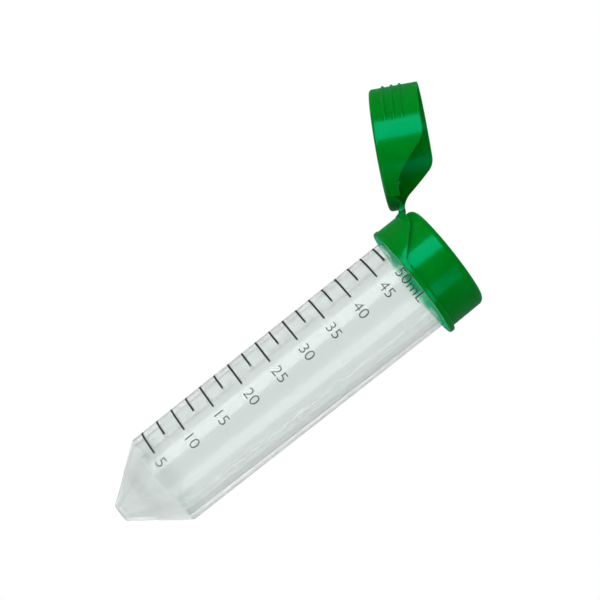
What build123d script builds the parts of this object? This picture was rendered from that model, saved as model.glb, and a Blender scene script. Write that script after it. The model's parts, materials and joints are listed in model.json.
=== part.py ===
from build123d import *
import os
from math import pi

# A 50 mL conical test tube with a flip-top screw cap, in millimetres. The tube stands on its tip
# along +Z, and the lid's hinge is on the -X side. The cap is screwed home and its lid is open.
# The cap's pieces are drawn with the lid shut, and the lid is then turned open about its hinge.

# ---- tube ----
TIP_FLAT_R = 2.8
TIP_CORNER = 0.6
CONE_HEIGHT = 15.1
SHOULDER_R = 13.9
RIM_Z = 114.5
RIM_R = 14.45
RIM_EDGE = 0.3
FLOOR_Z = 1.5
FLOOR_R = 2.65
CONE_INNER_Z = 14.65
BORE_TAPER = 0.01233
FIRST_MARK_Z = 18.5
BORE_AT_FIRST_MARK = 12.37

# ---- printed scale ----
FIRST_MARK_ML = 5.0
MARK_STEP_ML = 2.5
LAST_MARK_ML = 50.0
MARK_THICKNESS = 0.5
INK_DEPTH = 0.05
MARK_START_DEG = 193.0
LONG_MARK_DEG = 55.3
SHORT_MARK_DEG = 42.8

# ---- screw thread ----
PITCH = 3.2
NECK_THREAD_R = 15.15
CAP_THREAD_R = 14.7
NECK_THREAD_TURNS = 1.6
CAP_THREAD_TURNS = 1.2
NECK_THREAD_Z = 106.4
THREAD_ROOT_W = 1.5
THREAD_CREST_W = 0.8
THREAD_ROOT_SINK = 0.15

# ---- screw ring of the cap ----
SKIRT_Z = 102.85
FLANGE_R = 17.4
FLANGE_TOP_Z = 104.5
FLANGE_EDGE = 0.45
CAP_BORE_R = 15.35
CAP_MOUTH_R = 15.9
RING_FOOT_R = 16.3
RING_TOP_R = 16.1
DECK_Z = 116.0
DECK_EDGE = 2.0
DECK_THICKNESS = 1.2
POUR_R = 11.0
SEAL_R = 12.75
SEAL_INNER_R = 12.2
SEAL_DEPTH = 3.4

# ---- swept parting edge between the ring's back wall and the lid ----
EDGE_START_X = -12.2
WALL_EDGE_Z = 113.1
WALL_EDGE_END_X = -2.6
WALL_EDGE_LOW_Z = 103.9
LID_EDGE_Z = 114.25
LID_EDGE_END_X = -2.1
EDGE_FILLETS = [7.5, 6.0]

# ---- lid ----
LID_R = 17.4
LID_BORE_R = 16.8
LID_TOP_Z = 118.35
LID_RIM_Z = 104.65
LID_DISC = 1.2
LID_TOP_EDGE = 0.8
PLUG_R = 10.5
PLUG_WALL = 0.8
PLUG_LOW_Z = 114.2
RIB_BELOW_TOP = [3.9, 6.4, 8.7]
RIB_HEIGHT = 0.45
RIB_WIDTH = 0.9
RIB_ARC_DEG = 160

# ---- living hinge ----
HINGE_X = -17.9
HINGE_Z = 114.25
HINGE_DIRECTION = (-0.0205, -0.9996, -0.0213)
OPEN_DEG = 150.5
TONGUE_HALF = 3.4
NOTCH_HALF = 7.6
NOTCH_FLOOR_Z = 117.15
PAD_X = -17.85
PAD_LOW_Z = 111.3
PAD_TOP_Z = 113.35
TONGUE_END_Z = 114.85
FILM = 0.4

BIG = 60.0
HINGE = Axis((HINGE_X, 0, HINGE_Z), HINGE_DIRECTION)


def write(node, shape):
    export_step(shape, f"parts/{node}.step")


def turned(points):
    """A solid of revolution from (radius, height) points."""
    outline = Polyline(*[(r, 0, z) for r, z in points], close=True)
    return revolve(make_face(outline), Axis.Z)


def disc(radius, low, high):
    return Pos(0, 0, low) * Cylinder(radius, high - low, align=(Align.CENTER, Align.CENTER, Align.MIN))


def circles_at(shape, z, radius):
    """The round edges of a shape at one height and radius."""
    edges = shape.edges().filter_by(GeomType.CIRCLE)
    return [e for e in edges if abs(e.center().Z - z) < 0.01 and abs(e.radius - radius) < 0.01]


def tube_radius(z):
    """Outside radius of the barrel, which widens evenly from shoulder to rim."""
    return SHOULDER_R + (RIM_R - SHOULDER_R) * (z - CONE_HEIGHT) / (RIM_Z - CONE_HEIGHT)


def bore_radius(z):
    return BORE_AT_FIRST_MARK + BORE_TAPER * (z - FIRST_MARK_Z)


def fill_height(ml):
    """Height of the liquid in the tapered bore, counted from the first mark."""
    added = (ml - FIRST_MARK_ML) * 1000
    radius = (BORE_AT_FIRST_MARK ** 3 + 3 * BORE_TAPER * added / pi) ** (1 / 3)
    return FIRST_MARK_Z + (radius - BORE_AT_FIRST_MARK) / BORE_TAPER


def make_tube():
    body = turned([
        (0, 0), (TIP_FLAT_R, 0), (SHOULDER_R, CONE_HEIGHT), (RIM_R, RIM_Z),
        (bore_radius(RIM_Z), RIM_Z), (bore_radius(CONE_INNER_Z), CONE_INNER_Z),
        (FLOOR_R, FLOOR_Z), (0, FLOOR_Z),
    ])
    body = fillet(circles_at(body, 0, TIP_FLAT_R), TIP_CORNER)
    rim = circles_at(body, RIM_Z, RIM_R) + circles_at(body, RIM_Z, bore_radius(RIM_Z))
    return fillet(rim, RIM_EDGE)


def mark(ml, arc):
    """One printed line: a thin skin of ink that follows the tapered wall."""
    low = fill_height(ml) - MARK_THICKNESS / 2
    high = low + MARK_THICKNESS
    outline = Polyline(
        (tube_radius(low), 0, low), (tube_radius(low) + INK_DEPTH, 0, low),
        (tube_radius(high) + INK_DEPTH, 0, high), (tube_radius(high), 0, high), close=True)
    line = revolve(make_face(outline), Axis.Z, revolution_arc=arc)
    return Rot(0, 0, MARK_START_DEG) * line


def make_scale():
    """Long lines for every second step, short lines between them."""
    count = int((LAST_MARK_ML - FIRST_MARK_ML) / MARK_STEP_ML) + 1
    volumes = [FIRST_MARK_ML + MARK_STEP_ML * i for i in range(count)]
    long_marks = [mark(ml, LONG_MARK_DEG) for ml in volumes[0::2]]
    short_marks = [mark(ml, SHORT_MARK_DEG) for ml in volumes[1::2]]
    return Compound(children=long_marks), Compound(children=short_marks)


def thread(root_r, crest_r, turns, low):
    """A screw ridge: its root is sunk a little into the wall that carries it."""
    sink = -THREAD_ROOT_SINK if crest_r > root_r else THREAD_ROOT_SINK
    root, crest = THREAD_ROOT_W / 2, THREAD_CREST_W / 2
    section = make_face(Polyline(
        (root_r + sink, 0, -root), (crest_r, 0, -crest),
        (crest_r, 0, crest), (root_r + sink, 0, root), close=True))
    path = Helix(pitch=PITCH, height=PITCH * turns, radius=root_r)
    return Pos(0, 0, low) * sweep(section, path=path, is_frenet=True)


def region(edge_z, end_x, low_z, far_z):
    """Everything on one side of the swept parting edge, cut straight through along Y."""
    edge = FilletPolyline(
        (-BIG, 0, edge_z), (EDGE_START_X, 0, edge_z), (end_x, 0, low_z), (BIG, 0, low_z),
        radius=EDGE_FILLETS)
    rest = Polyline((BIG, 0, low_z), (BIG, 0, far_z), (-BIG, 0, far_z), (-BIG, 0, edge_z))
    return extrude(make_face(edge.edges() + rest.edges()), amount=BIG, dir=(0, 1, 0), both=True)


def make_ring():
    """The screw ring: foot flange, threaded wall and rounded shoulder under the deck."""
    ring = turned([
        (CAP_MOUTH_R, SKIRT_Z), (FLANGE_R, SKIRT_Z), (FLANGE_R, FLANGE_TOP_Z),
        (RING_FOOT_R, FLANGE_TOP_Z), (RING_TOP_R, DECK_Z), (SEAL_R, DECK_Z),
        (SEAL_R, DECK_Z - DECK_THICKNESS), (CAP_BORE_R, DECK_Z - DECK_THICKNESS),
        (CAP_BORE_R, SKIRT_Z + 0.6),
    ])
    ring = fillet(circles_at(ring, DECK_Z, RING_TOP_R), DECK_EDGE)
    foot = circles_at(ring, SKIRT_Z, FLANGE_R) + circles_at(ring, FLANGE_TOP_Z, FLANGE_R)
    return fillet(foot, FLANGE_EDGE)


def make_deck():
    """The flat top of the ring, with the round opening that liquid is poured through."""
    deck = disc(SEAL_R, DECK_Z - DECK_THICKNESS, DECK_Z) - disc(POUR_R, 0, 2 * BIG + DECK_Z)
    return fillet(circles_at(deck, DECK_Z, POUR_R), 0.4)


def make_back_wall():
    """The raised wall behind the ring, under the swept edge, with the pad that holds the hinge."""
    low = FLANGE_TOP_Z
    shell = disc(FLANGE_R, low, WALL_EDGE_Z)
    cone = turned([(0, low), (RING_FOOT_R, low), (RING_TOP_R, DECK_Z), (0, DECK_Z)])
    wall = (shell - cone) & region(WALL_EDGE_Z, WALL_EDGE_END_X, WALL_EDGE_LOW_Z, 0)
    depth = -RING_TOP_R + 0.4 - PAD_X
    pad = Pos(PAD_X + depth / 2, 0, (PAD_LOW_Z + PAD_TOP_Z) / 2) * Box(
        depth, 2 * TONGUE_HALF, PAD_TOP_Z - PAD_LOW_Z)
    pad = fillet(pad.edges().filter_by(Axis.Y).group_by(Axis.X)[0], 0.35)
    return wall + (pad - cone)


def make_bore_seal():
    """The thin collar under the deck that plugs the tube's mouth."""
    top = DECK_Z - DECK_THICKNESS
    low = top - SEAL_DEPTH
    return turned([
        (SEAL_INNER_R, low), (SEAL_R - 0.25, low), (SEAL_R, low + 0.8),
        (SEAL_R, top), (SEAL_INNER_R, top),
    ])


def make_lid():
    """The lid's disc and wall, cut to the swept edge, with a tongue for the hinge."""
    body = fillet(circles_at(disc(LID_R, LID_RIM_Z, LID_TOP_Z), LID_TOP_Z, LID_R), LID_TOP_EDGE)
    body = body - disc(LID_BORE_R, 0, LID_TOP_Z - LID_DISC)
    body = body & region(LID_EDGE_Z, LID_EDGE_END_X, LID_RIM_Z, 2 * BIG + LID_TOP_Z)
    low = LID_EDGE_Z - 1
    mid = ((TONGUE_HALF + NOTCH_HALF) / 2 - 0.9, NOTCH_FLOOR_Z - 0.9)
    for side in (-1, 1):
        tongue_edge = ThreePointArc(
            (0, side * TONGUE_HALF, TONGUE_END_Z), (0, side * mid[0], mid[1]),
            (0, side * (NOTCH_HALF - 0.6), NOTCH_FLOOR_Z))
        rest = Polyline(
            (0, side * (NOTCH_HALF - 0.6), NOTCH_FLOOR_Z), (0, side * NOTCH_HALF, NOTCH_FLOOR_Z),
            (0, side * NOTCH_HALF, low), (0, side * TONGUE_HALF, low),
            (0, side * TONGUE_HALF, TONGUE_END_Z))
        notch = extrude(make_face(tongue_edge.edges() + rest.edges()), amount=LID_R + 1, dir=(-1, 0, 0))
        body = body - notch
    under_tongue = Pos(-LID_R, 0, low + (TONGUE_END_Z - low) / 2) * Box(
        6, 2 * TONGUE_HALF + 0.2, TONGUE_END_Z - low)
    return body - under_tongue


def make_plug():
    """The ring under the lid's disc that closes the pour opening."""
    top = LID_TOP_Z - LID_DISC
    return turned([
        (PLUG_R - PLUG_WALL, top), (PLUG_R - PLUG_WALL, PLUG_LOW_Z), (PLUG_R - 0.35, PLUG_LOW_Z),
        (PLUG_R, PLUG_LOW_Z + 1.0), (PLUG_R, top),
    ])


def grip_rib(below_top):
    """One thin rib round the front of the lid, rounded to a ridge."""
    z = LID_TOP_Z - below_top
    half = RIB_WIDTH / 2
    edge = Polyline((LID_R, 0, z - half), (LID_R, 0, z + half))
    crest = ThreePointArc((LID_R, 0, z + half), (LID_R + RIB_HEIGHT, 0, z), (LID_R, 0, z - half))
    section = Rot(0, 0, -RIB_ARC_DEG / 2) * make_face(edge.edges() + crest.edges())
    return revolve(section, Axis.Z, revolution_arc=RIB_ARC_DEG)


def make_film():
    """The thin web that bends: it is drawn arched over, as it lies when the lid is open."""
    path = Line((-17.6, 0, PAD_TOP_Z), (-17.6, 0, 113.9))
    path += ThreePointArc((-17.6, 0, 113.9), (-18.05, 0, 114.5), (-18.62, 0, 114.2))
    half = FILM / 2
    outline = Plane.XZ * trace([Plane.XZ.to_local_coords(e) for e in path.edges()], line_width=2 * half)
    return extrude(outline, amount=TONGUE_HALF - 0.2, dir=(0, 1, 0), both=True)


def opened(shape):
    """A lid piece, turned from shut to open about the hinge."""
    return shape.rotate(HINGE, OPEN_DEG)


os.makedirs("parts", exist_ok=True)
long_marks, short_marks = make_scale()
cap_thread_z = NECK_THREAD_Z + PITCH / 2
write("tube", make_tube())
write("tube_thread", thread(tube_radius(NECK_THREAD_Z), NECK_THREAD_R, NECK_THREAD_TURNS, NECK_THREAD_Z))
write("scale_long_marks", long_marks)
write("scale_short_marks", short_marks)
write("cap_ring", make_ring())
write("cap_thread", thread(CAP_BORE_R, CAP_THREAD_R, CAP_THREAD_TURNS, cap_thread_z))
write("cap_deck", make_deck())
write("cap_back_wall", make_back_wall())
write("bore_seal", make_bore_seal())
write("hinge_film", make_film())
write("lid_shell", opened(make_lid()))
write("lid_plug", opened(make_plug()))
write("lid_grip_ribs", opened(Compound(children=[grip_rib(z) for z in RIB_BELOW_TOP])))
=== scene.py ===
import json
import math

import bmesh
import bpy
from mathutils import Matrix, Vector


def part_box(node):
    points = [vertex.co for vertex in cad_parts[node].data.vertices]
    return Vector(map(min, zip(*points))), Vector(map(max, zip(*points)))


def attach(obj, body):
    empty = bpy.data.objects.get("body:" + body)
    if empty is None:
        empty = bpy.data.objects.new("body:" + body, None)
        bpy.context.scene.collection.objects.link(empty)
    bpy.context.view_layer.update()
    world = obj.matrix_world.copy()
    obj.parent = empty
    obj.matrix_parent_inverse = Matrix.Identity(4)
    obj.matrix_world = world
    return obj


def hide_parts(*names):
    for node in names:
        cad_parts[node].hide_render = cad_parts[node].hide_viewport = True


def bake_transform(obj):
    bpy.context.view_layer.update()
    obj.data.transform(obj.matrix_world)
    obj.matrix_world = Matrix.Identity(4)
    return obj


# A 50 mL conical test tube with a flip-top screw cap. Shapes are worked out in millimetres, with the
# tube upright on its tip and the lid's hinge on the -X side, and become metres when a mesh is made.
# "Hinge angle" is counted round the tube from the hinge, in degrees.

MM = 0.001
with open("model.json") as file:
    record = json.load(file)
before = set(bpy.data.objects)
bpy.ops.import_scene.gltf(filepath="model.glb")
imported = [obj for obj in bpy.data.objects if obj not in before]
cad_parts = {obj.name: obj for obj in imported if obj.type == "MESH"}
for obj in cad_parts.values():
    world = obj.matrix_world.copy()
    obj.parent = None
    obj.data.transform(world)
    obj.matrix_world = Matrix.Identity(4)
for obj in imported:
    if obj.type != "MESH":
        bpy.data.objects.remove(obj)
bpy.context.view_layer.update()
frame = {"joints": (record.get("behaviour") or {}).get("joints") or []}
joints = {j["name"]: j for j in frame["joints"]}


def top_of(node):
    """Height of a node's top, in millimetres."""
    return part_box(node)[1].z / MM


def foot_of(node):
    """Height of a node's foot, in millimetres."""
    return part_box(node)[0].z / MM


def reach_of(node):
    """Largest distance of a round node from the tube's axis, in millimetres."""
    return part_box(node)[1].x / MM


# ---- tube ----
TIP_FLAT_R = 2.8
CONE_HEIGHT = 15.1
SHOULDER_R = 13.9
RIM_Z = top_of("tube")
RIM_R = reach_of("tube")
FLOOR_Z = 1.5
FLOOR_R = 2.65
CONE_INNER_Z = 14.65
BORE_TAPER = 0.01233
FIRST_MARK_Z = 18.5
BORE_AT_FIRST_MARK = 12.37

# ---- printed scale ----
FIRST_MARK_ML = 5.0
MARK_STEP_ML = 2.5
LAST_MARK_ML = 50.0
MARK_THICKNESS = 0.56
INK_LIFT = 0.02
MARK_START_DEG = 193.0
LONG_MARK_DEG = 55.3
SHORT_MARK_DEG = 42.8
NUMERAL_START_DEG = 258.0
NUMERAL_HEIGHT = 3.0
NUMERAL_WIDTH = 1.12
STROKE_THINNING = -0.009
UNIT_LABEL_Z = 101.5
SPOT_ML = 47.5
SPOT_R = 0.42

# ---- screw thread ----
PITCH = 3.2
NECK_THREAD_R = reach_of("tube_thread")
NECK_THREAD_Z = 106.4
NECK_THREAD_TURNS = 1.6
CAP_THREAD_R = 14.7
CAP_THREAD_TURNS = 1.2
RIDGE_ROOT = 0.75
RIDGE_CREST = 0.4
RUN_OUT_SLOPE = 24
MOST_LAPS = 3

# ---- screw ring ----
SKIRT_Z = foot_of("cap_ring")
FLANGE_R = reach_of("cap_ring")
FLANGE_TOP_Z = 104.5
CAP_BORE_R = 15.35
CAP_MOUTH_R = 15.9
MOUTH_CHAMFER = 0.6
SKIRT_INSIDE_R = CAP_MOUTH_R + 0.05
RING_FOOT_R = 16.3
RING_TOP_R = 16.1
DECK_Z = top_of("cap_ring")
DECK_THICKNESS = 1.2
POUR_R = 11.0
SEAL_R = reach_of("bore_seal")
SEAL_INNER_R = 12.2
SEAL_LOW_Z = foot_of("bore_seal")
SEAL_NARROWING = 0.25
SEAL_LEAD_IN = 0.8

# ---- swept parting edge ----
FAR_X = 60.0
EDGE_START_X = -12.2
WALL_EDGE_Z = 113.1
WALL_EDGE_END_X = -2.6
WALL_EDGE_LOW_Z = 103.9
LID_EDGE_Z = 114.25
LID_EDGE_END_X = -2.1
EDGE_CURVES = (7.5, 6.0)
BAND_WIDTH = 2.2
BAND_ASIDE = 0.88
BAND_STEP = 0.24
BAND_SLOPE = 0.2
WALL_FOOT_Z = FLANGE_TOP_Z - 0.3
WALL_INNER_R = RING_TOP_R + 0.05
WALL_LEAST_HEIGHT = 0.4
WALL_EDGE_SOFT = 0.22
WALL_PAST_SWEEP = 1.2

# ---- lid, drawn shut ----
LID_R = 17.4
LID_BORE_R = 16.8
LID_TOP_Z = 118.35
LID_RIM_Z = 104.65
LID_DISC = 1.2
LID_TOP_ROUND = 0.8
LID_RIM_SOFT = 0.14
PLUG_R = 10.5
PLUG_WALL = 0.8
PLUG_LOW_Z = 114.2
PLUG_NARROWING = 0.35
PLUG_LEAD_IN = 1.0
RIB_BELOW_TOP = (3.9, 6.4, 8.7)
RIB_HEIGHT = 0.44
RIB_HALF = 0.5
RIB_REACH_DEG = 80
RIB_FADE_DEG = 6

# ---- living hinge ----
OPEN_DEG = 150.5
TONGUE_HALF = 3.4
NOTCH_HALF = 7.6
NOTCH_FLOOR_Z = 117.15
NOTCH_FLAT = 0.6
NOTCH_SHAPE = 0.75
TONGUE_END_Z = 114.85
PAD_X = 17.85
PAD_LOW_Z = 111.3
PAD_TOP_Z = foot_of("hinge_film")
PAD_SIDE_SLOPE = 0.5
PAD_FOOT_SLOPE = 0.4
WEB_HALF = TONGUE_HALF - 0.3
WEB_FLARE = 0.45
BEAD_R = 0.42
BEAD_START = TONGUE_HALF - 0.4
BEAD_END = NOTCH_HALF - 0.5

# ---- mesh detail ----
WELD = 0.0005
SUNK = 0.05
THREAD_STEP = 0.22
RIB_STEP = 0.12
MARK_STEPS = 32
TEXT_SLICE = 0.5
SPOT_SIDES = 18
WALL_STEPS = 180
LID_STEP_DEG = 1.25
NOTCH_PAIR_DEG = 0.04
WEB_COLUMNS = (-1, -0.9, -0.6, -0.3, 0, 0.3, 0.6, 0.9, 1)
BEAD_STEPS = 20
BEAD_SIDES = 10


# ---------------------------------------------------------------- outlines

def rounded(corners, steps=6):
    """Points (a, b) of a line whose corners (a, b, radius) are rounded off."""
    out = []
    for i, (a, b, radius) in enumerate(corners):
        here = Vector((a, b))
        if not radius or i in (0, len(corners) - 1):
            out.append((a, b))
            continue
        back = (Vector(corners[i - 1][:2]) - here).normalized()
        ahead = (Vector(corners[i + 1][:2]) - here).normalized()
        half = back.angle(ahead) / 2
        centre = here + (back + ahead).normalized() * radius / math.sin(half)
        start = here + back * radius / math.tan(half) - centre
        end = here + ahead * radius / math.tan(half) - centre
        for k in range(steps + 1):
            out.append(tuple(centre + start.slerp(end, k / steps) * radius))
    return out


def refined(points, low, high, step):
    """The same line, with more points where it runs up between two heights."""
    out = [points[0]]
    for (r0, z0), (r1, z1) in zip(points, points[1:]):
        inside = min(z0, z1) < high and max(z0, z1) > low
        count = max(1, round(abs(z1 - z0) / step)) if inside else 1
        for k in range(1, count + 1):
            out.append((r0 + (r1 - r0) * k / count, z0 + (z1 - z0) * k / count))
    return out


def height_along(line, x):
    """Height of a line that runs forward in x."""
    for (x0, z0), (x1, z1) in zip(line, line[1:]):
        if x0 <= x <= x1:
            return z0 + (z1 - z0) * (x - x0) / max(x1 - x0, 1e-9)
    return line[-1][1]


def swept_edge(z, end_x, low_z):
    """An S-shaped edge seen from the side: level behind the axis, then down to a lower level."""
    first, second = EDGE_CURVES
    return rounded([(-FAR_X, z, 0), (EDGE_START_X, z, first), (end_x, low_z, second),
                    (FAR_X, low_z, 0)], steps=12)


WALL_EDGE = swept_edge(WALL_EDGE_Z, WALL_EDGE_END_X, WALL_EDGE_LOW_Z)
LID_EDGE = swept_edge(LID_EDGE_Z, LID_EDGE_END_X, LID_RIM_Z)
BAND_EDGE = [(x - BAND_ASIDE, z - BAND_WIDTH) for x, z in WALL_EDGE]


def tube_radius(z):
    """Outside radius of the barrel, which widens evenly from shoulder to rim."""
    return SHOULDER_R + (RIM_R - SHOULDER_R) * (z - CONE_HEIGHT) / (RIM_Z - CONE_HEIGHT)


def bore_radius(z):
    """Inside radius of the barrel, which widens evenly too."""
    return BORE_AT_FIRST_MARK + BORE_TAPER * (z - FIRST_MARK_Z)


def fill_height(ml):
    """Height of the liquid in the tapered bore, counted from the first mark."""
    added = (ml - FIRST_MARK_ML) * 1000
    radius = (BORE_AT_FIRST_MARK ** 3 + 3 * BORE_TAPER * added / math.pi) ** (1 / 3)
    return FIRST_MARK_Z + (radius - BORE_AT_FIRST_MARK) / BORE_TAPER


def ridge(hinge_angle, z, start_z, turns):
    """How far a screw ridge stands out at one place, from 0 to 1."""
    most = 0
    for lap in range(MOST_LAPS):
        turn = ((hinge_angle + 180) % 360) / 360 + lap
        run_out = min(turn, turns - turn) * RUN_OUT_SLOPE
        gap = abs(z - start_z - PITCH * turn)
        slope = (RIDGE_ROOT - gap) / (RIDGE_ROOT - RIDGE_CREST)
        most = max(most, min(1, slope, run_out))
    return most


def share(value):
    """The value held between 0 and 1."""
    return max(0, min(1, value))


# ---------------------------------------------------------------- mesh building

def make_piece(name, bm, material, sharp_deg=35):
    """A named object from a bmesh in millimetres, smooth but for its sharp edges."""
    bmesh.ops.remove_doubles(bm, verts=bm.verts, dist=WELD)
    bmesh.ops.recalc_face_normals(bm, faces=bm.faces)
    bmesh.ops.scale(bm, vec=(MM, MM, MM), verts=bm.verts)
    mesh = bpy.data.meshes.new(name)
    bm.to_mesh(mesh)
    bm.free()
    for face in mesh.polygons:
        face.use_smooth = True
    mesh.set_sharp_from_angle(angle=math.radians(sharp_deg))
    obj = bpy.data.objects.new(name, mesh)
    bpy.context.scene.collection.objects.link(obj)
    mesh.materials.append(material)
    return obj


def grid(bm, rows, around=False, closed=False):
    """Quads over rows of points: around joins the last row to the first, closed each row's ends."""
    verts = [[bm.verts.new(p) for p in row] for row in rows]
    count = len(rows)
    wide = len(rows[0])
    for i in range(count if around else count - 1):
        here, there = verts[i], verts[(i + 1) % count]
        for j in range(wide if closed else wide - 1):
            k = (j + 1) % wide
            bm.faces.new((here[j], here[k], there[k], there[j]))


def at(hinge_angle, r, z):
    """The point at a hinge angle, a distance from the tube's axis and a height."""
    a = math.radians(hinge_angle)
    return (-r * math.cos(a), -r * math.sin(a), z)


def lathe(name, section, material, columns=192, closed=True):
    """A round piece: section(hinge angle) gives its outline as (radius, height) points."""
    bm = bmesh.new()
    angles = [360 * i / columns for i in range(columns)]
    rows = [[at(a, r, z) for r, z in section(a)] for a in angles]
    grid(bm, rows, around=True, closed=closed)
    return make_piece(name, bm, material)


def dress(obj, body, slot_name, *nodes):
    """Attaches a piece to the body it rides on and hides the parts it stands for; slot_name is not
    used.
    """
    if nodes:
        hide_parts(*nodes)
    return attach(obj, body)


def opened(obj):
    """Turns a lid piece, drawn shut, open about the hinge."""
    hinge = joints["lid_hinge"]
    place = Matrix.Translation(Vector(hinge["pos_m"]))
    turn = Matrix.Rotation(math.radians(OPEN_DEG), 4, Vector(hinge["axis"]))
    obj.data.transform(place @ turn @ place.inverted())
    return obj


# ---------------------------------------------------------------- materials

NOISE_LOW = 0.3
NOISE_HIGH = 0.7
CONE_FADE_BELOW = 4
CONE_FADE_ABOVE = 6


def new_material(name):
    mat = bpy.data.materials.new(name)
    mat.use_nodes = True
    nodes = mat.node_tree.nodes
    return mat, nodes, mat.node_tree.links, nodes["Principled BSDF"]


def noise(nodes, links, scale, detail=3.0, stretch=(1, 1, 1)):
    """A noise texture fixed to the piece, with scale in features per metre."""
    place = nodes.new("ShaderNodeTexCoord")
    sizing = nodes.new("ShaderNodeMapping")
    sizing.inputs["Scale"].default_value = stretch
    tex = nodes.new("ShaderNodeTexNoise")
    tex.inputs["Scale"].default_value = scale
    tex.inputs["Detail"].default_value = detail
    links.new(place.outputs["Object"], sizing.inputs["Vector"])
    links.new(sizing.outputs["Vector"], tex.inputs["Vector"])
    return tex.outputs["Fac"]


def ramp(nodes, links, factor, stops):
    """Colours along a factor, as two (position, colour) stops."""
    node = nodes.new("ShaderNodeValToRGB")
    for element, (position, colour) in zip(node.color_ramp.elements, stops):
        element.position = position
        element.color = (*colour, 1)
    links.new(factor, node.inputs["Fac"])
    return node.outputs["Color"]


def spread(nodes, links, factor, low, high):
    """A noise factor turned into a plain value between low and high."""
    node = nodes.new("ShaderNodeMapRange")
    node.inputs["From Min"].default_value = NOISE_LOW
    node.inputs["From Max"].default_value = NOISE_HIGH
    node.inputs["To Min"].default_value = low
    node.inputs["To Max"].default_value = high
    links.new(factor, node.inputs["Value"])
    return node.outputs["Result"]


def height_factor(nodes, links, low, high):
    """0 below one height of the piece and 1 above another, in millimetres."""
    place = nodes.new("ShaderNodeTexCoord")
    split = nodes.new("ShaderNodeSeparateXYZ")
    node = nodes.new("ShaderNodeMapRange")
    node.inputs["From Min"].default_value = low * MM
    node.inputs["From Max"].default_value = high * MM
    links.new(place.outputs["Object"], split.inputs["Vector"])
    links.new(split.outputs["Z"], node.inputs["Value"])
    return node.outputs["Result"]


def less_than(nodes, links, value, limit):
    """1 where the value is below the limit, and 0 elsewhere."""
    node = nodes.new("ShaderNodeMath")
    node.operation = "LESS_THAN"
    node.inputs[1].default_value = limit
    links.new(value, node.inputs[0])
    return node.outputs["Value"]


def painted_glow_mask(nodes, links):
    """1 on the faces inside the ring's foot, where a lighter green is painted in for light glowing
    through the wall, and 0 elsewhere.
    """
    place = nodes.new("ShaderNodeTexCoord")
    flat = nodes.new("ShaderNodeVectorMath")
    flat.operation = "MULTIPLY"
    flat.inputs[1].default_value = (1, 1, 0)
    links.new(place.outputs["Object"], flat.inputs[0])
    radius = nodes.new("ShaderNodeVectorMath")
    radius.operation = "LENGTH"
    links.new(flat.outputs["Vector"], radius.inputs[0])
    split = nodes.new("ShaderNodeSeparateXYZ")
    links.new(place.outputs["Object"], split.inputs["Vector"])
    both = nodes.new("ShaderNodeMath")
    both.operation = "MULTIPLY"
    inward = less_than(nodes, links, radius.outputs["Value"], SKIRT_INSIDE_R * MM)
    low = less_than(nodes, links, split.outputs["Z"], SEAL_LOW_Z * MM)
    links.new(inward, both.inputs[0])
    links.new(low, both.inputs[1])
    return both.outputs["Value"]


def bump(nodes, links, shader, factor, strength, depth):
    """Relief on the surface, with its depth in metres."""
    node = nodes.new("ShaderNodeBump")
    node.inputs["Strength"].default_value = strength
    node.inputs["Distance"].default_value = depth
    links.new(factor, node.inputs["Height"])
    links.new(node.outputs["Normal"], shader.inputs["Normal"])


def clear_polypropylene():
    """Clear moulding with a faint milky haze, flow streaks along it, a soft surface and a darker
    tint painted towards the tip as shade.
    """
    mat, nodes, links, shader = new_material("clear_polypropylene")
    shader.inputs["IOR"].default_value = 1.49
    shader.inputs["Transmission Weight"].default_value = 0.99
    shader.inputs["Alpha"].default_value = 0.42
    streaks = noise(nodes, links, scale=160, detail=3.0, stretch=(1, 1, 0.12))
    barrel = ramp(nodes, links, streaks,
                  [(0.25, (0.855, 0.895, 0.88)), (0.75, (0.91, 0.94, 0.925))])
    # Painted shade: the tip's glass takes a darker tint than the barrel's, fading up into the
    # barrel.
    shaded_cone_tint = ramp(nodes, links, streaks, [(0.25, (0.45, 0.51, 0.50)), (0.75, (0.57, 0.63, 0.62))])
    tint = nodes.new("ShaderNodeMix")
    tint.data_type = "RGBA"
    upward = height_factor(
        nodes, links, CONE_HEIGHT - CONE_FADE_BELOW, CONE_HEIGHT + CONE_FADE_ABOVE)
    links.new(upward, tint.inputs["Factor"])
    links.new(shaded_cone_tint, tint.inputs["A"])
    links.new(barrel, tint.inputs["B"])
    links.new(tint.outputs["Result"], shader.inputs["Base Color"])
    haze = noise(nodes, links, scale=700, detail=4.0)
    links.new(spread(nodes, links, haze, low=0.08, high=0.17), shader.inputs["Roughness"])
    bump(nodes, links, shader, streaks, strength=0.03, depth=0.00008)
    return mat


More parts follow.
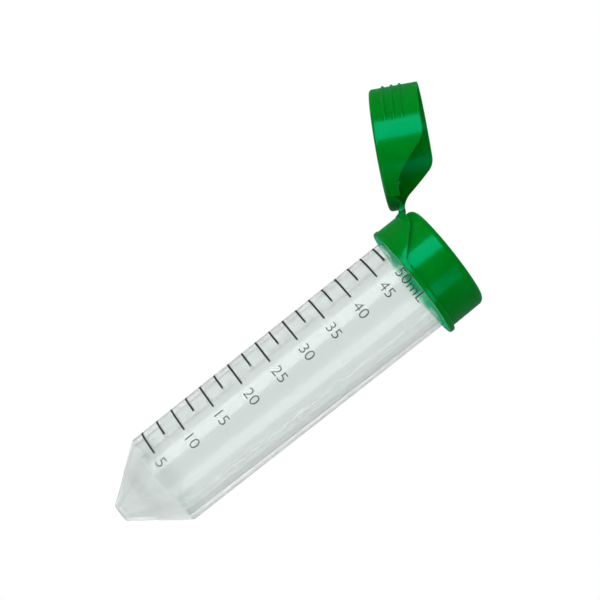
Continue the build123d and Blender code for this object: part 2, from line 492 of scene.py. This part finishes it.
def green_polyethylene():
    """Glossy green moulding with slightly uneven colour and a fine mould grain, and a lighter green
    painted inside the ring's foot for light glowing through the thin wall.
    """
    mat, nodes, links, shader = new_material("green_polyethylene")
    shader.inputs["IOR"].default_value = 1.46
    shader.inputs["Specular Tint"].default_value = (0.0, 1.0, 0.58, 1)
    shader.inputs["Sheen Weight"].default_value = 0.3
    shader.inputs["Sheen Roughness"].default_value = 0.33
    shader.inputs["Sheen Tint"].default_value = (0.0, 0.9, 0.45, 1)
    shader.inputs["Subsurface Weight"].default_value = 0.35
    shader.inputs["Subsurface Radius"].default_value = (0.1, 1.0, 0.2)
    shader.inputs["Subsurface Scale"].default_value = 0.003
    cloud = noise(nodes, links, scale=140, detail=4.0)
    tint = ramp(nodes, links, cloud, [(0.3, (0.0, 0.126, 0.004)), (0.7, (0.0, 0.150, 0.008))])
    # Painted light: faces inside the ring's foot take a lighter green in place of light shining
    # through the thin wall.
    painted_glow = nodes.new("ShaderNodeMix")
    painted_glow.data_type = "RGBA"
    links.new(painted_glow_mask(nodes, links), painted_glow.inputs["Factor"])
    links.new(tint, painted_glow.inputs["A"])
    painted_glow.inputs["B"].default_value = (0.0, 0.6, 0.3, 1)
    links.new(painted_glow.outputs["Result"], shader.inputs["Base Color"])
    grain = noise(nodes, links, scale=2600, detail=2.0)
    links.new(spread(nodes, links, grain, low=0.14, high=0.22), shader.inputs["Roughness"])
    bump(nodes, links, shader, grain, strength=0.18, depth=0.00004)
    return mat


def printing_ink(name, dense, thinned):
    """Screen-printed ink, a little thin in places."""
    mat, nodes, links, shader = new_material(name)
    thin = noise(nodes, links, scale=1500, detail=3.0)
    tint = ramp(nodes, links, thin, [(0.35, dense), (0.7, thinned)])
    links.new(tint, shader.inputs["Base Color"])
    links.new(spread(nodes, links, thin, low=0.38, high=0.55), shader.inputs["Roughness"])
    bump(nodes, links, shader, thin, strength=0.3, depth=0.00002)
    return mat


def pale_floor():
    """Matt white, with a little light of its own so that its far edge doesn't show."""
    mat, nodes, links, shader = new_material("pale_floor")
    speck = noise(nodes, links, scale=60, detail=2.0)
    tint = ramp(nodes, links, speck, [(0.3, (0.86, 0.86, 0.86)), (0.7, (0.9, 0.9, 0.9))])
    links.new(tint, shader.inputs["Base Color"])
    shader.inputs["Roughness"].default_value = 0.9
    shader.inputs["Specular IOR Level"].default_value = 0.0
    shader.inputs["Emission Color"].default_value = (1, 1, 1, 1)
    shader.inputs["Emission Strength"].default_value = 0.55
    return mat


CLEAR = clear_polypropylene()
GREEN = green_polyethylene()
LINE_INK = printing_ink("line_ink", (0.006, 0.007, 0.008), (0.022, 0.024, 0.024))
NUMERAL_INK = printing_ink("numeral_ink", (0.025, 0.028, 0.028), (0.09, 0.095, 0.095))


# ---------------------------------------------------------------- tube

def tube_section(hinge_angle):
    """Up the outside with its thread, over the rim, and down the bore to the floor."""
    outside = rounded([
        (0, 0, 0), (TIP_FLAT_R, 0, 0.6), (SHOULDER_R, CONE_HEIGHT, 0.7), (RIM_R, RIM_Z, 0.3),
        (bore_radius(RIM_Z), RIM_Z, 0)])
    threaded = refined(outside, CONE_HEIGHT + 2, RIM_Z - 1, THREAD_STEP)
    inside = rounded([
        (bore_radius(RIM_Z), RIM_Z, 0), (bore_radius(CONE_INNER_Z), CONE_INNER_Z, 0.6),
        (FLOOR_R, FLOOR_Z, 0.5), (0, FLOOR_Z, 0)])
    points = []
    for r, z in threaded:
        if r > SHOULDER_R and z > NECK_THREAD_Z - 1:
            height = NECK_THREAD_R - tube_radius(z)
            r += height * ridge(hinge_angle, z, NECK_THREAD_Z, NECK_THREAD_TURNS)
        points.append((r, z))
    return points + inside[1:]


def make_tube():
    tube = lathe("tube_moulding", tube_section, CLEAR, 256, closed=False)
    dress(tube, "tube", "clear_polypropylene", "tube", "tube_thread")


# ---------------------------------------------------------------- printed scale

def on_barrel(angle, z):
    """A point of the print, by angle counted from +X."""
    a = math.radians(angle)
    r = tube_radius(z) + INK_LIFT
    return (r * math.cos(a), r * math.sin(a), z)


def make_marks(name, volumes, arc, node):
    """The printed lines for some volumes, each an arc of the barrel."""
    bm = bmesh.new()
    for ml in volumes:
        z = fill_height(ml)
        rows = []
        for i in range(MARK_STEPS + 1):
            angle = MARK_START_DEG + arc * i / MARK_STEPS
            rows.append([on_barrel(angle, z + MARK_THICKNESS * s) for s in (-0.5, 0, 0.5)])
        grid(bm, rows)
    dress(make_piece(name, bm, LINE_INK), "tube", "black_ink", node)


def flat_text(words):
    """The words as a flat bmesh, with their lower left corner at the origin."""
    curve = bpy.data.curves.new("words", "FONT")
    curve.body = words
    curve.resolution_u = 6
    curve.offset = STROKE_THINNING
    holder = bpy.data.objects.new("words", curve)
    bpy.context.scene.collection.objects.link(holder)
    mesh = holder.to_mesh()
    bm = bmesh.new()
    bm.from_mesh(mesh)
    holder.to_mesh_clear()
    bpy.data.objects.remove(holder)
    return bm


def print_words(target, words, start_deg, middle_z, height):
    """Wraps words round the barrel: they start at an angle and are centred on a height."""
    bm = flat_text(words)
    low = min(v.co.y for v in bm.verts)
    high = max(v.co.y for v in bm.verts)
    left = min(v.co.x for v in bm.verts)
    size = height / (high - low)
    for v in bm.verts:
        v.co = ((v.co.x - left) * size * NUMERAL_WIDTH, (v.co.y - low) * size, 0)
    width = max(v.co.x for v in bm.verts)
    for k in range(1, int(width / TEXT_SLICE) + 1):
        parts = list(bm.verts) + list(bm.edges) + list(bm.faces)
        cut = (k * TEXT_SLICE, 0, 0)
        bmesh.ops.bisect_plane(bm, geom=parts, plane_co=cut, plane_no=(1, 0, 0))
    around = math.degrees(1 / tube_radius(middle_z))
    made = {}
    for v in bm.verts:
        z = middle_z - height / 2 + v.co.y
        made[v] = target.verts.new(on_barrel(start_deg + v.co.x * around, z))
    for face in bm.faces:
        target.faces.new([made[v] for v in face.verts])
    bm.free()


def make_numerals():
    bm = bmesh.new()
    count = int((LAST_MARK_ML - FIRST_MARK_ML) / (2 * MARK_STEP_ML))
    for i in range(count):
        ml = FIRST_MARK_ML + 2 * MARK_STEP_ML * i
        print_words(bm, f"{ml:.0f}", NUMERAL_START_DEG, fill_height(ml), NUMERAL_HEIGHT)
    dress(make_piece("scale_numerals", bm, NUMERAL_INK), "tube", "black_ink")


def make_unit_label():
    bm = bmesh.new()
    print_words(bm, f"{LAST_MARK_ML:.0f}mL", NUMERAL_START_DEG, UNIT_LABEL_Z, NUMERAL_HEIGHT)
    dress(make_piece("scale_unit_label", bm, LINE_INK), "tube", "black_ink")


def make_spot():
    """The round blot of ink where one of the short lines ends."""
    bm = bmesh.new()
    z = fill_height(SPOT_ML)
    across = math.degrees(1 / tube_radius(z))
    turns = [math.radians(360 * k / SPOT_SIDES) for k in range(SPOT_SIDES)]
    bm.faces.new([bm.verts.new(on_barrel(
        MARK_START_DEG + SHORT_MARK_DEG + SPOT_R * math.cos(t) * across,
        z + SPOT_R * math.sin(t))) for t in turns])
    dress(make_piece("scale_spot", bm, LINE_INK), "tube", "black_ink")


def make_scale():
    count = int((LAST_MARK_ML - FIRST_MARK_ML) / MARK_STEP_ML) + 1
    volumes = [FIRST_MARK_ML + MARK_STEP_ML * i for i in range(count)]
    make_marks("scale_long_lines", volumes[0::2], LONG_MARK_DEG, "scale_long_marks")
    make_marks("scale_short_lines", volumes[1::2], SHORT_MARK_DEG, "scale_short_marks")
    make_numerals()
    make_unit_label()
    make_spot()


# ---------------------------------------------------------------- cap

def ring_section(hinge_angle):
    """From the mouth round the outside, over the deck, and down the bore with its thread."""
    under = DECK_Z - DECK_THICKNESS
    bore_foot = SKIRT_Z + MOUTH_CHAMFER
    outside = rounded([
        (CAP_BORE_R, bore_foot, 0), (CAP_MOUTH_R, SKIRT_Z, 0.15), (FLANGE_R, SKIRT_Z, 0.45),
        (FLANGE_R, FLANGE_TOP_Z, 0.45), (RING_FOOT_R, FLANGE_TOP_Z, 0.3), (RING_TOP_R, DECK_Z, 2.0),
        (POUR_R, DECK_Z, 0.4), (POUR_R, under, 0.2), (CAP_BORE_R, under, 0)])
    bore = refined([(CAP_BORE_R, under), (CAP_BORE_R, bore_foot)], SKIRT_Z, DECK_Z, THREAD_STEP)
    start_z = NECK_THREAD_Z + PITCH / 2
    depth = CAP_BORE_R - CAP_THREAD_R
    return outside + [
        (r - depth * ridge(hinge_angle, z, start_z, CAP_THREAD_TURNS), z) for r, z in bore[1:-1]]


def make_ring():
    ring = lathe("screw_ring", ring_section, GREEN, 224)
    dress(ring, "cap", "green_polyethylene", "cap_ring", "cap_thread", "cap_deck")


def wall_section(hinge_angle):
    """One slice of the back wall, from its foot up to the swept edge and down again."""
    turn = math.cos(math.radians(hinge_angle))
    foot = WALL_FOOT_Z
    inner_r = WALL_INNER_R
    least = foot + WALL_LEAST_HEIGHT
    top = max(height_along(WALL_EDGE, -FLANGE_R * turn), least)
    back = max(height_along(WALL_EDGE, -inner_r * turn), least)
    soft = min(WALL_EDGE_SOFT, (top - foot) / 3)
    half_y = abs(FLANGE_R * math.sin(math.radians(hinge_angle)))
    swell = (PAD_X - FLANGE_R) * share((TONGUE_HALF - half_y) / PAD_SIDE_SLOPE + 0.5)
    band = height_along(BAND_EDGE, -FLANGE_R * turn)
    band = min(max(band, foot), top - soft - BAND_SLOPE)
    below = FLANGE_R - BAND_STEP
    outline = rounded([
        (below, foot, 0), (below, band - BAND_SLOPE, 0), (FLANGE_R, band, 0), (FLANGE_R, top, soft),
        (inner_r, back, soft), (inner_r, foot, 0)], steps=4)
    points = []
    for r, z in outline:
        on_outside = r > below - 0.01
        if on_outside and turn > 0:
            r += swell * share((z - PAD_LOW_Z) / PAD_FOOT_SLOPE + 0.5)
        points.append((r, z))
    return points


def make_back_wall():
    reach = math.degrees(math.acos(-(WALL_EDGE_END_X + WALL_PAST_SWEEP) / FLANGE_R))
    bm = bmesh.new()
    rows = []
    for i in range(WALL_STEPS + 1):
        angle = -reach + 2 * reach * i / WALL_STEPS
        rows.append([at(angle, r, z) for r, z in wall_section(angle)])
    grid(bm, rows, closed=True)
    wall = make_piece("back_wall", bm, GREEN)
    dress(wall, "cap", "green_polyethylene", "cap_back_wall")


def seal_section(hinge_angle):
    top = DECK_Z - DECK_THICKNESS + SUNK
    return rounded([
        (SEAL_INNER_R, top, 0), (SEAL_INNER_R, SEAL_LOW_Z, 0.1),
        (SEAL_R - SEAL_NARROWING, SEAL_LOW_Z, 0.15),
        (SEAL_R, SEAL_LOW_Z + SEAL_LEAD_IN, 0.4), (SEAL_R, top, 0)])


def make_seal():
    dress(lathe("mouth_seal", seal_section, GREEN), "seal", "green_polyethylene", "bore_seal")


# ---------------------------------------------------------------- lid

def lid_rim(hinge_angle, r):
    """Height of the lid's lower edge: the swept edge, then the notches beside the tongue."""
    x, y, _ = at(hinge_angle, r, 0)
    if x > 0 or abs(y) > NOTCH_HALF:
        return height_along(LID_EDGE, x)
    span = NOTCH_HALF - NOTCH_FLAT - TONGUE_HALF
    t = share((abs(y) - TONGUE_HALF) / span)
    rise = NOTCH_FLOOR_Z - TONGUE_END_Z
    return TONGUE_END_Z + rise * (1 - math.sqrt(max(0, 1 - t * t))) ** NOTCH_SHAPE


def rib_height(hinge_angle, z):
    """How far the grip ribs stand out at one place of the lid's wall."""
    from_front = abs((hinge_angle % 360) - 180)
    fade = share((RIB_REACH_DEG - from_front) / RIB_FADE_DEG)
    most = 0
    for below in RIB_BELOW_TOP:
        t = (z - LID_TOP_Z + below) / RIB_HALF
        most = max(most, 1 - t * t)
    return RIB_HEIGHT * fade * most


def lid_section(hinge_angle):
    """From under the disc down the inside, round the rim, up the ribbed wall and over the top."""
    outer_rim = lid_rim(hinge_angle, LID_R)
    inner_rim = lid_rim(hinge_angle, LID_BORE_R)
    soft = LID_RIM_SOFT
    under = LID_TOP_Z - LID_DISC
    inside = [(0, under), (LID_BORE_R - 0.5, under), (LID_BORE_R - 0.15, under - 0.12),
              (LID_BORE_R, max(under - 0.45, inner_rim + soft)), (LID_BORE_R, inner_rim + soft)]
    rim = [(LID_BORE_R + soft, inner_rim), (LID_R - soft, outer_rim)]
    wall = refined([(LID_R, LID_RIM_Z + soft), (LID_R, LID_TOP_Z - LID_TOP_ROUND)],
                   LID_RIM_Z, LID_TOP_Z, RIB_STEP)
    ribbed = [(r + rib_height(hinge_angle, z), max(z, outer_rim + soft)) for r, z in wall]
    over = rounded([(LID_R, LID_TOP_Z - 0.9, 0), (LID_R, LID_TOP_Z, LID_TOP_ROUND),
                    (0, LID_TOP_Z, 0)])
    return inside + rim + ribbed + over[1:]


def lid_angles():
    """Even steps round the lid, with a close pair at each end of each notch."""
    even = [i * LID_STEP_DEG for i in range(int(360 / LID_STEP_DEG))]
    notch_end = math.degrees(math.asin(NOTCH_HALF / LID_R))
    pairs = []
    for side in (-1, 1):
        for aside in (-NOTCH_PAIR_DEG, NOTCH_PAIR_DEG):
            pairs.append((side * notch_end + aside) % 360)
    return sorted(even + pairs)


def make_lid():
    bm = bmesh.new()
    rows = [[at(a, r, z) for r, z in lid_section(a)] for a in lid_angles()]
    grid(bm, rows, around=True)
    lid = opened(make_piece("lid_moulding", bm, GREEN))
    dress(lid, "lid", "green_polyethylene", "lid_shell", "lid_grip_ribs")


def plug_section(hinge_angle):
    top = LID_TOP_Z - LID_DISC + SUNK
    inner = PLUG_R - PLUG_WALL
    return rounded([
        (inner, top, 0), (inner, PLUG_LOW_Z, 0.15), (PLUG_R - PLUG_NARROWING, PLUG_LOW_Z, 0.2),
        (PLUG_R, PLUG_LOW_Z + PLUG_LEAD_IN, 0.5), (PLUG_R, top, 0)])


def make_plug():
    plug = opened(lathe("pour_plug", plug_section, GREEN))
    dress(plug, "lid", "green_polyethylene", "lid_plug")


# ---------------------------------------------------------------- hinge web

def web_outline():
    """The web's side view, as (x, z): an arch from the pad over to the open lid's tongue."""
    return rounded([
        (-17.3, PAD_TOP_Z - 0.4, 0), (-17.3, 114.55, 0.55), (-18.25, 114.85, 0.5),
        (-19.1, 114.2, 0.15), (-18.85, 113.7, 0.15), (-18.4, 113.25, 0.4), (-18.1, 112.55, 0.3),
        (-17.7, 112.4, 0)])


def make_web():
    outline = web_outline()
    waist = sum(x for x, z in outline) / len(outline)
    bm = bmesh.new()
    rows = []
    for t in WEB_COLUMNS:
        row = []
        for x, z in outline:
            flare = WEB_FLARE * abs(x - waist)
            row.append((x, t * (WEB_HALF + flare), z))
        rows.append(row)
    grid(bm, rows, closed=True)
    for row in (rows[0], rows[-1]):
        bm.faces.new([bm.verts.new(p) for p in row])
    web = make_piece("hinge_web", bm, GREEN)
    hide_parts("hinge_film")
    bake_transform(web)


def bead_path(side):
    """The flared edge of the tongue, on the shut lid's wall."""
    r = (LID_R + LID_BORE_R) / 2
    first = math.degrees(math.asin(BEAD_START / r))
    last = math.degrees(math.asin(BEAD_END / r))
    steps = range(BEAD_STEPS + 1)
    angles = [side * (first + (last - first) * i / BEAD_STEPS) for i in steps]
    return [Vector(at(a, r, lid_rim(a, r))) for a in angles]


def make_tongue_beads():
    """A small rolled bead along each edge of the tongue."""
    bm = bmesh.new()
    for side in (-1, 1):
        path = bead_path(side)
        rows = []
        for i, p in enumerate(path):
            ahead = (path[min(i + 1, BEAD_STEPS)] - path[max(i - 1, 0)]).normalized()
            out = Vector((p.x, p.y, 0)).normalized()
            across = ahead.cross(out)
            turns = [math.radians(360 * k / BEAD_SIDES) for k in range(BEAD_SIDES)]
            rows.append([p + (out * math.cos(t) + across * math.sin(t)) * BEAD_R for t in turns])
        grid(bm, rows, closed=True)
    beads = opened(make_piece("tongue_beads", bm, GREEN))
    dress(beads, "lid", "green_polyethylene")


# ---------------------------------------------------------------- studio

AZIMUTH_DEG = 10.65
ELEVATION_DEG = -1.64
TUBE_TILT_DEG = 38.27
CAMERA_DISTANCE = 0.56387
AIM_HEIGHT = 0.075615
AIM_ASIDE = 0.015672
LENS = 121.73
TUBE_LEFT_DEG = TUBE_TILT_DEG + 90
TUBE_RIGHT_DEG = TUBE_TILT_DEG - 90
LAMP_DISTANCE = 0.6
LAMP_AIM_HEIGHT = 0.065
LAMP_COLOUR = (0.95, 1.0, 0.98)
FILL_COLOUR = (0.97, 1.0, 0.99)
FILL_LIGHT = 0.42
REFLECTED_COLOUR = (0.88, 1.0, 0.96)
REFLECTED_LIGHT = 0.10
THROUGH_COLOUR = (0.92, 1.0, 0.97)
THROUGH_LIGHT = 0.73
FLOOR_LEVEL = -0.05
FLOOR_REACH = 75


def camera_axes():
    """A level direction across the view, then the right, up and forward of the rolled camera."""
    a = math.radians(AZIMUTH_DEG)
    e = math.radians(ELEVATION_DEG)
    level = Vector((math.cos(a), math.sin(a), 0))
    forward = Vector((-math.sin(a) * math.cos(e), math.cos(a) * math.cos(e), -math.sin(e)))
    along = (-forward).cross(level)
    roll = math.radians(TUBE_TILT_DEG)
    right = along * math.cos(roll) + level * math.sin(roll)
    up = along * math.sin(roll) - level * math.cos(roll)
    return level, right, up, forward


def make_camera():
    level, right, up, forward = camera_axes()
    data = bpy.data.cameras.new("camera")
    data.lens = LENS
    data.sensor_width = 36
    data.clip_start = 0.05
    data.clip_end = 20
    cam = bpy.data.objects.new("camera", data)
    bpy.context.scene.collection.objects.link(cam)
    aim = Vector((0, 0, AIM_HEIGHT)) - level * AIM_ASIDE
    turned = Matrix((right, up, -forward)).transposed().to_4x4()
    cam.matrix_world = Matrix.Translation(aim - forward * CAMERA_DISTANCE) @ turned
    bpy.context.scene.camera = cam


def make_softbox(name, off_axis_deg, toward_deg, width, height, radiance):
    """An area light that faces the tube, placed by its angle from the camera's line of sight."""
    _, right, up, forward = camera_axes()
    off = math.radians(off_axis_deg)
    toward = math.radians(toward_deg)
    aside = right * math.cos(toward) + up * math.sin(toward)
    away = -forward * math.cos(off) + aside * math.sin(off)
    data = bpy.data.lights.new(name, "AREA")
    data.shape = "RECTANGLE"
    data.size = width
    data.size_y = height
    data.energy = radiance * math.pi * data.size * data.size_y
    data.color = LAMP_COLOUR
    lamp = bpy.data.objects.new(name, data)
    bpy.context.scene.collection.objects.link(lamp)
    lamp.location = Vector((0, 0, LAMP_AIM_HEIGHT)) + away * LAMP_DISTANCE
    lamp.rotation_euler = (-away).to_track_quat("-Z", "Y").to_euler()
    lamp.visible_camera = False
    lamp.visible_transmission = False
    return lamp


def background(nodes, colour, strength):
    """One plain backdrop of the world."""
    node = nodes.new("ShaderNodeBackground")
    node.inputs["Color"].default_value = (*colour, 1)
    node.inputs["Strength"].default_value = strength
    return node.outputs["Background"]


def either(nodes, links, factor, otherwise, chosen):
    """One of two shaders, by a factor that is 0 or 1."""
    mix = nodes.new("ShaderNodeMixShader")
    links.new(factor, mix.inputs["Fac"])
    links.new(otherwise, mix.inputs[1])
    links.new(chosen, mix.inputs[2])
    return mix.outputs["Shader"]


def make_world():
    """White behind the tube, and a softer grey for everything that the light reaches."""
    world = bpy.data.worlds.new("studio")
    bpy.context.scene.world = world
    world.use_nodes = True
    nodes, links = world.node_tree.nodes, world.node_tree.links
    nodes.clear()
    seen = background(nodes, (1, 1, 1), 1.0)
    reflected = background(nodes, REFLECTED_COLOUR, REFLECTED_LIGHT)
    through = background(nodes, THROUGH_COLOUR, THROUGH_LIGHT)
    path = nodes.new("ShaderNodeLightPath")
    shade = background(nodes, FILL_COLOUR, FILL_LIGHT)
    shade = either(nodes, links, path.outputs["Is Glossy Ray"], shade, reflected)
    shade = either(nodes, links, path.outputs["Is Transmission Ray"], shade, through)
    shade = either(nodes, links, path.outputs["Is Camera Ray"], shade, seen)
    out = nodes.new("ShaderNodeOutputWorld")
    links.new(shade, out.inputs["Surface"])


def floor_section(hinge_angle):
    """A flat disc just under the tube's tip."""
    return [(0, FLOOR_LEVEL), (FLOOR_REACH, FLOOR_LEVEL)]


def make_floor():
    floor = lathe("floor", floor_section, pale_floor(), 96, closed=False)


def make_softboxes():
    """The two lights whose highlights show on the tube and the cap."""
    make_softbox("softbox_left", 38, 114, width=0.33, height=0.7, radiance=5.8)
    make_softbox("softbox_right", 37, TUBE_RIGHT_DEG, width=0.28, height=0.40, radiance=3.2)


def make_rims():
    """Soft light from each side, which leaves no highlight."""
    for name, toward, radiance in (("rim_left", TUBE_LEFT_DEG, 2.0),
                                   ("rim_right", TUBE_RIGHT_DEG, 0.8)):
        rim = make_softbox(name, 100, toward, width=0.55, height=0.6, radiance=radiance)
        rim.visible_glossy = False


def make_tube_panels():
    """Panels on each side that only the clear tube reflects."""
    clear_parts = bpy.data.collections.new("clear_parts")
    clear_parts.objects.link(bpy.data.objects["tube_moulding"])
    panels = (("panel_front", 59, TUBE_LEFT_DEG, 0.3, 1.3),
              ("panel_left", 118, TUBE_LEFT_DEG, 0.6, 1.3),
              ("panel_right", 96, TUBE_RIGHT_DEG, 0.45, 0.8))
    for name, off_axis, toward, width, radiance in panels:
        panel = make_softbox(name, off_axis, toward, width, height=0.9, radiance=radiance)
        panel.visible_diffuse = False
        panel.light_linking.receiver_collection = clear_parts


def make_studio():
    make_world()
    make_floor()
    make_softboxes()
    make_rims()
    make_tube_panels()
    make_camera()
    bpy.context.scene.view_settings.view_transform = "Standard"
    bpy.context.scene.view_settings.look = "None"


make_tube()
make_scale()
make_ring()
make_back_wall()
make_seal()
make_lid()
make_plug()
make_web()
make_tongue_beads()
make_studio()
